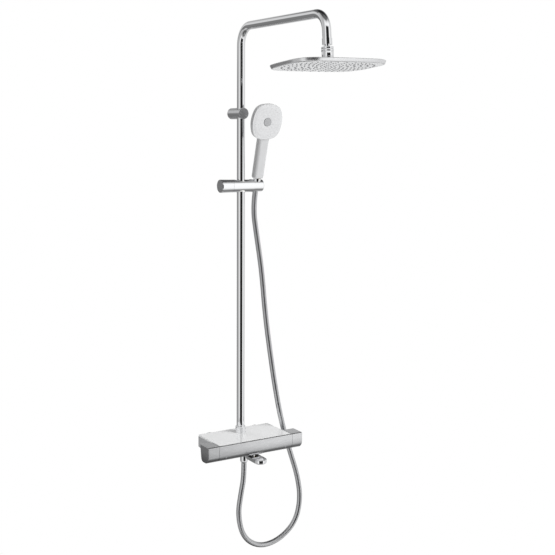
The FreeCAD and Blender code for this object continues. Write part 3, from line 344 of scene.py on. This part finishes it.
PAINTED_SHADE_LOW = -0.018             # heights between which the bar's painted shade runs, darker at the lower edge
PAINTED_SHADE_HIGH = 0.022
PAINTED_SHADE_LEFT = -0.20             # and places from left to right, darker at the left end
PAINTED_SHADE_RIGHT = 0.06
PAINTED_SHADE_LEFT_SHARE = 0.65            # share of the full light colour kept at the left, under the painted shade
CLOUDING = 0.06              # how far the painted shade wanders over the surface, at random


def smooth_step(tree, value, low, high):
    """0 below low, 1 above high, smooth between; low may be the larger."""
    return tree.add("ShaderNodeMapRange", {0: value, 1: low, 2: high, 3: 0.0, 4: 1.0},
                    interpolation_type="SMOOTHSTEP").outputs[0]


def chrome(name="chrome", low=0.035, high=0.075):
    """Polished chrome, with roughness between low and high."""
    material, tree, shader, place = new_material(name, (0.88, 0.885, 0.895), low, 1.0)
    vary_roughness(tree, shader, noise(tree, place, 45.0), low, high)
    add_bump(tree, shader, noise(tree, place, 14.0, 1.0), 0.03, 0.0006)
    return material


def satin_metal(name, dark, light, roughness):
    """Satin metal with a fine grain along X."""
    material, tree, shader, place = new_material(name, light, roughness, 1.0)
    grain = noise(tree, place, 900.0, 2.0, (0.04, 1, 1))
    vary_roughness(tree, shader, grain, roughness - 0.04, roughness + 0.05)
    vary_colour(tree, shader, noise(tree, place, 30.0), dark, light)
    add_bump(tree, shader, grain, 0.05, 0.0001)
    return material


def satin_painted_shade(name, dark, light, roughness):
    """Satin metal with a painted shade: its colour darkens towards the bar's lower edge and its
    left end.
    """
    material, tree, shader, place = new_material(name, light, roughness, 1.0)
    grain = noise(tree, place, 900.0, 2.0, (0.04, 1, 1))
    vary_roughness(tree, shader, grain, roughness - 0.04, roughness + 0.05)
    # painted shade: the colour falls from light to dark towards the lower edge and the left end,
    # set by place on the piece
    split = tree.add("ShaderNodeSeparateXYZ", {0: place})
    upward = smooth_step(tree, split.outputs[2], PAINTED_SHADE_LOW, PAINTED_SHADE_HIGH)
    rightward = smooth_step(tree, split.outputs[0], PAINTED_SHADE_LEFT, PAINTED_SHADE_RIGHT)
    level = tree.math("MULTIPLY_ADD", rightward, 1.0 - PAINTED_SHADE_LEFT_SHARE, PAINTED_SHADE_LEFT_SHARE)
    cloud = tree.math("MULTIPLY_ADD", noise(tree, place, 30.0), CLOUDING, -CLOUDING / 2)
    share = tree.math("ADD", tree.math("MULTIPLY", upward, level), cloud)
    vary_colour(tree, shader, share, dark, light)
    add_bump(tree, shader, grain, 0.05, 0.0001)
    return material


def gloss_plastic(name, dark, light, roughness, coat=0.3):
    """Glossy moulded plastic under a thin clear coat."""
    material, tree, shader, place = new_material(name, light, roughness, 0.0, IOR=1.5,
                                                 Coat_Weight=coat, Coat_Roughness=0.04)
    vary_colour(tree, shader, noise(tree, place, 25.0), dark, light)
    vary_roughness(tree, shader, noise(tree, place, 120.0), roughness - 0.03, roughness + 0.04)
    add_bump(tree, shader, noise(tree, place, 60.0, 2.0), 0.02, 0.0003)
    return material


def matte_plastic(name, dark, light, roughness):
    """Moulded plastic with a fine sparked texture."""
    material, tree, shader, place = new_material(name, light, roughness, 0.0, IOR=1.46)
    vary_colour(tree, shader, noise(tree, place, 40.0), dark, light)
    grain = noise(tree, place, 1400.0, 3.0)
    vary_roughness(tree, shader, grain, roughness - 0.05, roughness + 0.06)
    add_bump(tree, shader, grain, 0.12, 0.00012)
    return material


def cast_brass():
    material, tree, shader, place = new_material("brass", (0.78, 0.60, 0.31), 0.3, 1.0)
    vary_colour(tree, shader, noise(tree, place, 60.0), (0.66, 0.49, 0.24), (0.82, 0.65, 0.36))
    grain = noise(tree, place, 500.0, 4.0)
    vary_roughness(tree, shader, grain, 0.24, 0.42)
    add_bump(tree, shader, grain, 0.15, 0.0002)
    return material


def turned_steel():
    material, tree, shader, place = new_material("steel", (0.62, 0.62, 0.63), 0.28, 1.0)
    grain = noise(tree, place, 700.0, 3.0)
    vary_roughness(tree, shader, grain, 0.22, 0.36)
    vary_colour(tree, shader, noise(tree, place, 80.0), (0.54, 0.54, 0.55), (0.66, 0.66, 0.67))
    return material


def rubber(name, dark, light):
    material, tree, shader, place = new_material(name, light, 0.6, 0.0, IOR=1.5)
    grain = noise(tree, place, 1100.0, 3.0)
    vary_colour(tree, shader, grain, dark, light)
    vary_roughness(tree, shader, grain, 0.5, 0.7)
    add_bump(tree, shader, grain, 0.2, 0.00015)
    return material


MATERIALS = {
    "chrome": chrome(),
    # the satin metal has a painted shade, darker towards the lower edge and the left end
    "satin_metal": satin_painted_shade("satin_metal", (0.26, 0.262, 0.268), (0.74, 0.745, 0.755), 0.30),
    "tab_metal": satin_metal("tab_metal", (0.80, 0.80, 0.81), (0.86, 0.86, 0.87), 0.24),
    "steel": turned_steel(),
    "brass": cast_brass(),
    "white_shelf": gloss_plastic("white_shelf", (0.86, 0.865, 0.87), (0.89, 0.893, 0.897), 0.14,
                                 0.25),
    "white_plastic": gloss_plastic("white_plastic", (0.47, 0.473, 0.48), (0.51, 0.512, 0.516),
                                   0.22),
    "housing_plastic": matte_plastic("housing_plastic", (0.42, 0.423, 0.43), (0.48, 0.483, 0.49),
                                     0.5),
    "inner_plastic": matte_plastic("inner_plastic", (0.70, 0.70, 0.68), (0.76, 0.76, 0.74), 0.5),
    "spray_plate_plastic": matte_plastic("spray_plate_plastic", (0.60, 0.605, 0.61),
                                         (0.66, 0.665, 0.67), 0.42),
    "face_plastic": gloss_plastic("face_plastic", (0.54, 0.543, 0.55), (0.57, 0.573, 0.58), 0.25,
                                  0.2),
    "button_plastic": gloss_plastic("button_plastic", (0.30, 0.303, 0.31), (0.36, 0.363, 0.37),
                                    0.28, 0.2),
    "hose_skin": satin_metal("hose_skin", (0.56, 0.565, 0.575), (0.64, 0.645, 0.655), 0.32),
    "seal_rubber": rubber("seal_rubber", (0.025, 0.025, 0.025), (0.05, 0.05, 0.05)),
    "nozzle_rubber": rubber("nozzle_rubber", (0.20, 0.203, 0.21), (0.28, 0.283, 0.29)),
}


def dress(piece, slot):
    """Give a piece the material of a slot."""
    piece.data.materials.clear()
    piece.data.materials.append(MATERIALS[slot])


for entry in frame["record"]["subparts"]:
    node = nodes[entry["node"]]
    node.data.materials.clear()
    node.data.materials.append(MATERIALS[entry["material_slot"]])
# the handset's nozzles are as pale as its face
nodes["handset_nozzles"].data.materials[0] = MATERIALS["face_plastic"]


make_hose()


# ---------------------------------------------------------------- rain head

def bowed_ring(half_w, half_h, corner_r, side_r, end_r, steps=10):
    """Rounded rectangle with gently bowed sides, as a ring of (x, y) points.

    It runs on eight tangent arcs: four corners, two sides and two ends.
    """
    side_x = half_w - side_r
    end_y = half_h - end_r
    span = math.hypot(side_x, end_y)
    to_side = side_r - corner_r
    to_end = end_r - corner_r
    along = (to_side ** 2 - to_end ** 2 + span ** 2) / (2 * span)
    across = math.sqrt(to_side ** 2 - along ** 2)
    centre_x = side_x - along * side_x / span - across * end_y / span
    centre_y = along * end_y / span - across * side_x / span
    side_angle = math.atan2(centre_y, centre_x - side_x)
    end_angle = math.atan2(centre_y - end_y, centre_x)
    quarter = []
    for k in range(steps):
        angle = side_angle * k / steps
        quarter.append((side_x + side_r * math.cos(angle), side_r * math.sin(angle)))
    for k in range(steps):
        angle = side_angle + (end_angle - side_angle) * k / steps
        quarter.append((centre_x + corner_r * math.cos(angle),
                        centre_y + corner_r * math.sin(angle)))
    for k in range(steps):
        angle = end_angle + (math.pi / 2 - end_angle) * k / steps
        quarter.append((end_r * math.cos(angle), end_y + end_r * math.sin(angle)))
    top = (0.0, half_h)
    left = [(-x, y) for x, y in reversed(quarter)]
    upper = quarter + [top] + left
    lower = [(x, -y) for x, y in reversed(upper)]
    return upper[:-1] + lower[:-1]


HEAD_OUTLINE = (133.0, 92.0, 53.0, 420.0, 1150.0)    # half sizes; corner, side and end radii


def head_ring(inset, z):
    """Ring of the head's outline, inset from the rim, in millimetres from the ball's centre."""
    outline = bowed_ring(*[size - inset for size in HEAD_OUTLINE])
    return [(x, y, z) for x, y in outline]


def circle_like(ring, radius, z):
    """Circle with a point in the direction of each point of a ring."""
    result = []
    for x, y, _ in ring:
        reach = math.hypot(x, y)
        result.append((x * radius / reach, y * radius / reach, z))
    return result


def between(first, second, share, z):
    """Ring part of the way from one ring to another."""
    return [(a[0] + (b[0] - a[0]) * share, a[1] + (b[1] - a[1]) * share, z)
            for a, b in zip(first, second)]


FACE_Z = -35.5
RIM_TOP = FACE_Z + 8.3
ROOF_RISE = 1.9
SKIRT_R = 23.0               # where the roof turns up into the hub
HUB_R = 14.0
HUB_TOP = -12.0
SHELL_SHARP = math.radians(60)


def make_head():
    """Chromed shell with a softly rounded rim, a low roof and a flared hub."""
    rings = [head_ring(6.1, FACE_Z + 2.5), head_ring(6.0, FACE_Z + 0.4), head_ring(5.6, FACE_Z),
             head_ring(3.9, FACE_Z), head_ring(3.1, FACE_Z + 0.4), head_ring(2.5, FACE_Z + 1.2),
             head_ring(1.6, FACE_Z + 3.4), head_ring(0.7, RIM_TOP - 2.6),
             head_ring(0.15, RIM_TOP - 1.2), head_ring(0.05, RIM_TOP - 0.6),
             head_ring(0.35, RIM_TOP + 0.1), head_ring(1.2, RIM_TOP + 0.55),
             head_ring(3.0, RIM_TOP + 0.95), head_ring(9.0, RIM_TOP + ROOF_RISE)]
    rim = rings[-1]
    skirt = circle_like(rim, SKIRT_R, 0.0)
    for share in (0.25, 0.5, 0.75, 0.92):
        rings.append(between(rim, skirt, share, RIM_TOP + ROOF_RISE + 0.5 * share))
    flare = ((SKIRT_R, 2.5), (20.0, 3.0), (17.6, 4.0), (15.8, 5.6), (14.6, 7.6), (HUB_R, 10.0))
    for radius, rise in flare:
        rings.append(circle_like(rim, radius, RIM_TOP + rise))
    rings.append(circle_like(rim, HUB_R, HUB_TOP))
    points = [head_point(*point) for ring in rings for point in ring]
    head = new_piece("head_shell", points, loft_faces(len(rings), len(rim)), sharp=SHELL_SHARP)
    dress(head, "chrome")
    # the large shell is less sharply polished than the tubes
    head.data.materials[0] = chrome("soft_chrome", 0.25, 0.31)
    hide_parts("head_cover")
    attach(head, "head")


def make_swivel_nut():
    """Nut round the ball: two plain bands and a ridge between them."""
    profile = [(13.0, -11.9), (14.0, -11.9), (14.35, -11.5), (14.4, -11.1), (14.4, -0.9),
               (14.2, -0.5), (14.6, 0.2), (15.05, 2.4), (15.1, 3.0), (15.0, 3.6), (14.6, 5.8),
               (14.3, 6.2), (14.6, 6.6), (14.6, 10.7), (14.3, 11.3), (13.8, 11.5), (11.2, 11.5),
               (10.6, 11.2), (9.7, 7.6), (12.0, 5.0), (13.0, 0.0)]
    nut = lathe("ball_nut_ridged", profile, head_point)
    dress(nut, "chrome")
    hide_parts("swivel_nut")
    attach(nut, "head")


NOZZLE_RINGS = 7
NOZZLES_PER_RING = 6
NOZZLE_REACH_X = 117.5
NOZZLE_REACH_Y = 76.5
NOZZLE_SQUARE = 0.82         # 1 gives ellipses, less gives squarer rings
NOZZLE_SIDES = 16


def nozzle_spots():
    """The same rounded rings of nozzles as in the face plate."""
    spots = [(0.0, 0.0)]
    for ring in range(1, NOZZLE_RINGS + 1):
        share = ring / NOZZLE_RINGS
        count = NOZZLES_PER_RING * ring
        for k in range(count):
            angle = 2 * math.pi * (k + 0.5 * (ring % 2)) / count
            c = math.cos(angle)
            s = math.sin(angle)
            x = share * NOZZLE_REACH_X * math.copysign(abs(c) ** NOZZLE_SQUARE, c)
            y = share * NOZZLE_REACH_Y * math.copysign(abs(s) ** NOZZLE_SQUARE, s)
            spots.append((x, y))
    return spots


def make_rain_nozzles():
    """Soft nozzles: a collar on the plate and a tapered tip with a hole."""
    profile = [(0.7, 2.0), (0.7, -1.2), (1.0, -1.45), (1.35, -1.2), (1.75, -0.3), (2.5, -0.18),
               (2.9, 0.05), (1.7, 0.6), (1.7, 2.0)]
    ring_faces = loft_faces(len(profile), NOZZLE_SIDES, closed=True)
    points = []
    faces = []
    for x, y in nozzle_spots():
        base = len(points)
        for radius, height in profile:
            for k in range(NOZZLE_SIDES):
                angle = 2 * math.pi * k / NOZZLE_SIDES
                points.append(head_point(x + radius * math.cos(angle), y + radius * math.sin(angle),
                                         FACE_Z + height))
        faces += [tuple(base + k for k in face) for face in ring_faces]
    nozzles = new_piece("rain_nozzle_tips", points, faces)
    dress(nozzles, "nozzle_rubber")
    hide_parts("rain_nozzles")
    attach(nozzles, "head")


make_head()
make_swivel_nut()
make_rain_nozzles()


# ---------------------------------------------------------------- handset

HANDSET_FACE_S = 183.0       # holder's centre to the face's centre, along the handle
FACE_FRONT = 12.0
FACE_OUTLINE = (47.25, 49.75, 28.0, 78.0, 78.0)      # half sizes; corner, side and end radii
SHELL_VOXEL = 0.0014
SHELL_SMOOTHING = 10


def smoothed_copy(name, node, voxel, rounds):
    """Finely remeshed and smoothed copy of a node's mesh, so its edges and joins become round."""
    piece = bpy.data.objects.new(name, nodes[node].data.copy())
    bpy.context.scene.collection.objects.link(piece)
    remesh = piece.modifiers.new("remesh", "REMESH")
    remesh.mode = "VOXEL"
    remesh.voxel_size = voxel
    remesh.use_smooth_shade = True
    smooth = piece.modifiers.new("smooth", "SMOOTH")
    smooth.factor = 0.5
    smooth.iterations = rounds
    bpy.context.view_layer.update()
    made = piece.evaluated_get(bpy.context.evaluated_depsgraph_get())
    mesh = bpy.data.meshes.new_from_object(made)
    piece.modifiers.clear()
    piece.data = mesh
    for face in mesh.polygons:
        face.use_smooth = True
    return piece


def face_ring(inset, forward):
    """Ring of the handset's face outline, as (x, along, forward)."""
    outline = bowed_ring(*[size - inset for size in FACE_OUTLINE])
    return [(x, y, forward) for x, y in outline]


def face_place(x, along, forward):
    """Point in metres from a place on the handset's face, in millimetres."""
    return handset_point(x, FACE_FRONT + forward, HANDSET_FACE_S + along)


def make_handset():
    """White shell, and a pale face plate with a soft edge and a step round the button."""
    shell = smoothed_copy("handset_shell", "handset_body", SHELL_VOXEL, SHELL_SMOOTHING)
    dress(shell, "white_plastic")
    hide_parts("handset_body")
    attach(shell, "handset")
    rings = [face_ring(1.6, -1.4), face_ring(1.1, -1.0), face_ring(1.05, -0.5),
             face_ring(1.5, -0.05), face_ring(2.4, 0.2), face_ring(4.0, 0.28),
             face_ring(4.6, 0.1), face_ring(5.2, 0.3)]
    edge = rings[-1]
    hole = circle_like(edge, 12.6, 0.0)
    rings += [between(edge, hole, share, 0.32) for share in (0.3, 0.6, 0.85)]
    for radius, forward in ((12.6, 0.3), (12.0, 0.05), (11.4, -0.3), (11.3, -1.3)):
        rings.append(circle_like(edge, radius, forward))
    points = [face_place(*point) for ring in rings for point in ring]
    plate = new_piece("handset_face_plate", points, loft_faces(len(rings), len(edge)),
                      sharp=SHELL_SHARP)
    dress(plate, "face_plastic")
    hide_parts("handset_face")
    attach(plate, "handset")


make_handset()


# ---------------------------------------------------------------- studio

CARD_EDGE = 4.0              # degrees over which a card fades, either side of its limit


def card(tree, azimuth, elevation, sides, heights):
    """Mask of one card in the studio, from its limits in degrees."""
    edges = [smooth_step(tree, azimuth, sides[0] - CARD_EDGE, sides[0] + CARD_EDGE),
             smooth_step(tree, azimuth, sides[1] + CARD_EDGE, sides[1] - CARD_EDGE),
             smooth_step(tree, elevation, heights[0] - CARD_EDGE, heights[0] + CARD_EDGE),
             smooth_step(tree, elevation, heights[1] + CARD_EDGE, heights[1] - CARD_EDGE)]
    mask = edges[0]
    for edge in edges[1:]:
        mask = tree.math("MULTIPLY", mask, edge)
    return mask


def sky():
    """White studio all round, with grey sides and dark cards that chrome picks up.

    Azimuth is in degrees from the place of the photographer, to the right.
    """
    world = bpy.data.worlds.new("studio")
    bpy.context.scene.world = world
    world.use_nodes = True
    tree = Tree(world.node_tree)
    direction = tree.add("ShaderNodeTexCoord").outputs["Generated"]
    rightward = Vector((math.cos(CAMERA_HEADING), -math.sin(CAMERA_HEADING), 0))
    nearward = Vector((-math.sin(CAMERA_HEADING), -math.cos(CAMERA_HEADING), 0))
    right = tree.add("ShaderNodeVectorMath", {0: direction, 1: rightward},
                     operation="DOT_PRODUCT").outputs[1]
    near = tree.add("ShaderNodeVectorMath", {0: direction, 1: nearward},
                    operation="DOT_PRODUCT").outputs[1]
    height = tree.add("ShaderNodeSeparateXYZ", {0: direction}).outputs[2]
    azimuth = tree.math("MULTIPLY", tree.math("ARCTAN2", right, near), 180 / math.pi)
    elevation = tree.math("MULTIPLY", tree.math("ARCSINE", height), 180 / math.pi)
    turn_share = tree.math("MULTIPLY_ADD", azimuth, 1 / 360, 0.5)
    rise_share = tree.math("MULTIPLY_ADD", elevation, 1 / 180, 0.5)
    around = tree.ramp(turn_share, [((a + 180) / 360, v) for a, v in AROUND])
    upward = tree.ramp(rise_share, [((e + 90) / 180, v) for e, v in UPWARD])
    shade = tree.math("MULTIPLY", around, upward)
    for sides, heights, level in CARDS:
        mask = card(tree, azimuth, elevation, sides, heights)
        shade = tree.math("MULTIPLY", shade, tree.math("MULTIPLY_ADD", mask, level - 1.0, 1.0))
    studio = tree.add("ShaderNodeBackground", {"Color": shade, "Strength": 1.0})
    plain = tree.add("ShaderNodeBackground", {"Color": (1, 1, 1, 1), "Strength": 1.0})
    seen = tree.add("ShaderNodeLightPath").outputs["Is Camera Ray"]
    both = tree.add("ShaderNodeMixShader", {0: seen, 1: studio.outputs[0], 2: plain.outputs[0]})
    tree.add("ShaderNodeOutputWorld", {"Surface": both.outputs[0]})


# grey levels by azimuth and by elevation, and cards as (azimuths, elevations, level)
AROUND = [(-180, 0.58), (-150, 0.52), (-120, 0.72), (-95, 0.55), (-75, 0.48), (-52, 0.52),
          (-38, 0.90), (-20, 0.98), (30, 1.0), (58, 1.12), (68, 1.10), (82, 0.74), (134, 0.76),
          (160, 0.58), (180, 0.58)]
UPWARD = [(-90, 0.14), (-62, 0.18), (-52, 0.55), (-44, 0.95), (-14, 1.0), (38, 1.03), (48, 0.75),
          (58, 0.16), (90, 0.12)]
CARDS = [((-18, 54), (-40, 28), 0.02), ((-165, -98), (-34, 5), 0.30),
         ((104, 190), (32, 95), 0.25), ((-190, -104), (32, 95), 0.25)]


def soft_light(name, place, target, size, power):
    """Soft light for the white pieces; chrome picks up the studio round it instead."""
    data = bpy.data.lights.new(name, "AREA")
    data.size = size
    data.energy = power
    light = bpy.data.objects.new(name, data)
    light.visible_glossy = False
    bpy.context.scene.collection.objects.link(light)
    aim = Vector(target) - Vector(place)
    turn = aim.to_track_quat("-Z", "Y").to_matrix()
    light.matrix_world = Matrix.Translation(place) @ turn.to_4x4()


FLOOR_Z = -1.1
FLOOR_R = 1.2
FLOOR_SIDES = 96
FLOOR_GLOW = 0.3             # keeps the floor pale beside the white background
FLOOR_FADE = 0.6             # share of the radius where the fade starts


def pale_floor():
    """Round pale floor that fades out at its rim; chrome doesn't pick it up."""
    mesh = bpy.data.meshes.new("floor")
    angles = [2 * math.pi * k / FLOOR_SIDES for k in range(FLOOR_SIDES)]
    rim = [(FLOOR_R * math.cos(angle), FLOOR_R * math.sin(angle), FLOOR_Z) for angle in angles]
    mesh.from_pydata(rim, [], [range(FLOOR_SIDES)])
    floor = bpy.data.objects.new("floor", mesh)
    bpy.context.scene.collection.objects.link(floor)
    material, tree, shader, place = new_material("floor", (0.93, 0.93, 0.93), 0.8,
                                                 Emission_Color=(1, 1, 1, 1),
                                                 Emission_Strength=FLOOR_GLOW)
    vary_colour(tree, shader, noise(tree, place, 2.0), (0.925, 0.925, 0.925),
                (0.935, 0.935, 0.935))
    flat = tree.add("ShaderNodeVectorMath", {0: place, 1: (1, 1, 0)},
                    operation="MULTIPLY").outputs[0]
    reach = tree.add("ShaderNodeVectorMath", {0: flat}, operation="LENGTH").outputs[1]
    fade = smooth_step(tree, reach, FLOOR_R, FLOOR_R * FLOOR_FADE)
    tree.tree.links.new(fade, shader.inputs["Alpha"])
    mesh.materials.append(material)
    floor.visible_glossy = False


bpy.context.scene.view_settings.view_transform = "Standard"
sky()
pale_floor()
soft_light("key", (1.1, -1.9, 2.7), (0, -0.2, 0.5), 1.5, 77.0)
soft_light("back", (-0.8, 2.4, 0.4), (0, -0.1, 0.6), 1.4, 38.0)
soft_light("lift", (0.2, -0.9, -0.9), (0, -0.45, 1.0), 0.8, 26.0)
